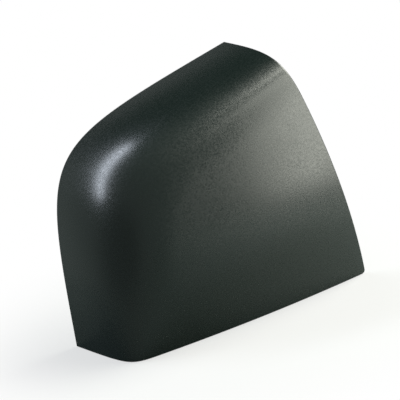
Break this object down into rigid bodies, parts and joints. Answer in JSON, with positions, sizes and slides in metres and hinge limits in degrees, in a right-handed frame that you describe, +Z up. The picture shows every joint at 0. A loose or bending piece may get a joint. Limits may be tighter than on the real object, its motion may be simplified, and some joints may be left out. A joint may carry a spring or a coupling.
{
  "type": "wing mirror cover",
  "caption": "Clip-on outer cover for a wing mirror: a thin black grained plastic shell with a crowned face, a soft shoulder, a top wall and an outer side wall.",
  "frame": {"origin": "centre of the bounding box's foot, on the plane of the foot edge", "axes": "+X inboard, towards the vehicle; +Y rearward, out of the open back; +Z up from the foot edge; the crowned face looks to -Y"},
  "size_m": [0.2462, 0.1, 0.214],
  "materials": {
    "black_plastic": "moulded black ABS with a fine spark-eroded grain and a satin sheen"
  },
  "bodies": {
    "root": {"mirror_cover": "black_plastic"}
  },
  "joints": []
}
